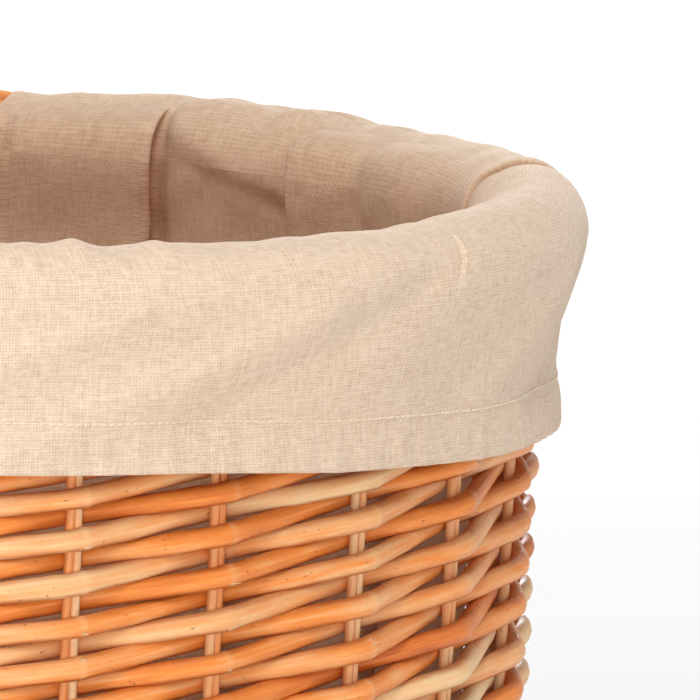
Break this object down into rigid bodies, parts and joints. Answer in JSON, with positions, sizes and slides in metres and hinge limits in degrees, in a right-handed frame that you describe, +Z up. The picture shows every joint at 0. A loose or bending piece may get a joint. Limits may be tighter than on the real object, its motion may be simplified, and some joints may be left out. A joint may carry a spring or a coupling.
{
  "type": "lined woven laundry basket",
  "caption": "Round tapered willow laundry basket with hooped end handles and a lift-out cloth liner folded over the rim.",
  "frame": {"origin": "centre of the foot, on the floor", "axes": "+Z up through the open mouth; the handles stand on the rim at -Y and +Y, and -Y is the front"},
  "size_m": [0.4506, 0.4468, 0.5545],
  "materials": {
    "weave_willow": "satin varnished willow rods",
    "border_willow": "satin varnished willow rods",
    "stake_willow": "satin varnished willow rods",
    "base_stick_willow": "matt willow sticks",
    "base_willow": "satin willow rods",
    "handle_willow": "satin varnished willow rods",
    "liner_linen": "plain woven linen",
    "hem_linen": "plain woven linen, stitched"
  },
  "bodies": {
    "basket": {"stake_01": "stake_willow", "stake_02": "stake_willow", "stake_03": "stake_willow", "stake_04": "stake_willow", "stake_05": "stake_willow", "stake_06": "stake_willow", "stake_07": "stake_willow", "stake_08": "stake_willow", "stake_09": "stake_willow", "stake_10": "stake_willow", "stake_11": "stake_willow", "stake_12": "stake_willow", "stake_13": "stake_willow", "stake_14": "stake_willow", "stake_15": "stake_willow", "stake_16": "stake_willow", "stake_17": "stake_willow", "stake_18": "stake_willow", "stake_19": "stake_willow", "stake_20": "stake_willow", "stake_21": "stake_willow", "stake_22": "stake_willow", "stake_23": "stake_willow", "stake_24": "stake_willow", "stake_25": "stake_willow", "stake_26": "stake_willow", "base_stick_slit_1": "base_stick_willow", "base_stick_slit_2": "base_stick_willow", "base_stick_slit_3": "base_stick_willow", "base_stick_slit_4": "base_stick_willow", "base_stick_threaded_1": "base_stick_willow", "base_stick_threaded_2": "base_stick_willow", "base_stick_threaded_3": "base_stick_willow", "base_stick_threaded_4": "base_stick_willow", "base_weave": "base_willow", "foot_border": "border_willow", "foot_wale": "weave_willow", "upset_wale": "weave_willow", "randing_lower": "weave_willow", "randing_middle": "weave_willow", "randing_upper": "weave_willow", "top_wale": "weave_willow", "rim_border": "border_willow", "handle_back_bow": "handle_willow", "handle_back_wrap": "handle_willow", "handle_front_bow": "handle_willow", "handle_front_wrap": "handle_willow"},
    "liner": {"liner_wall": "liner_linen", "liner_floor": "liner_linen", "liner_cuff_right": "liner_linen", "liner_cuff_left": "liner_linen", "liner_hem_right": "hem_linen", "liner_hem_left": "hem_linen"}
  },
  "joints": [
    {"name": "liner_lift", "type": "slide", "parent": "basket", "child": "liner", "axis": [0, 0, 1], "range_m": [0, 0.55]}
  ]
}
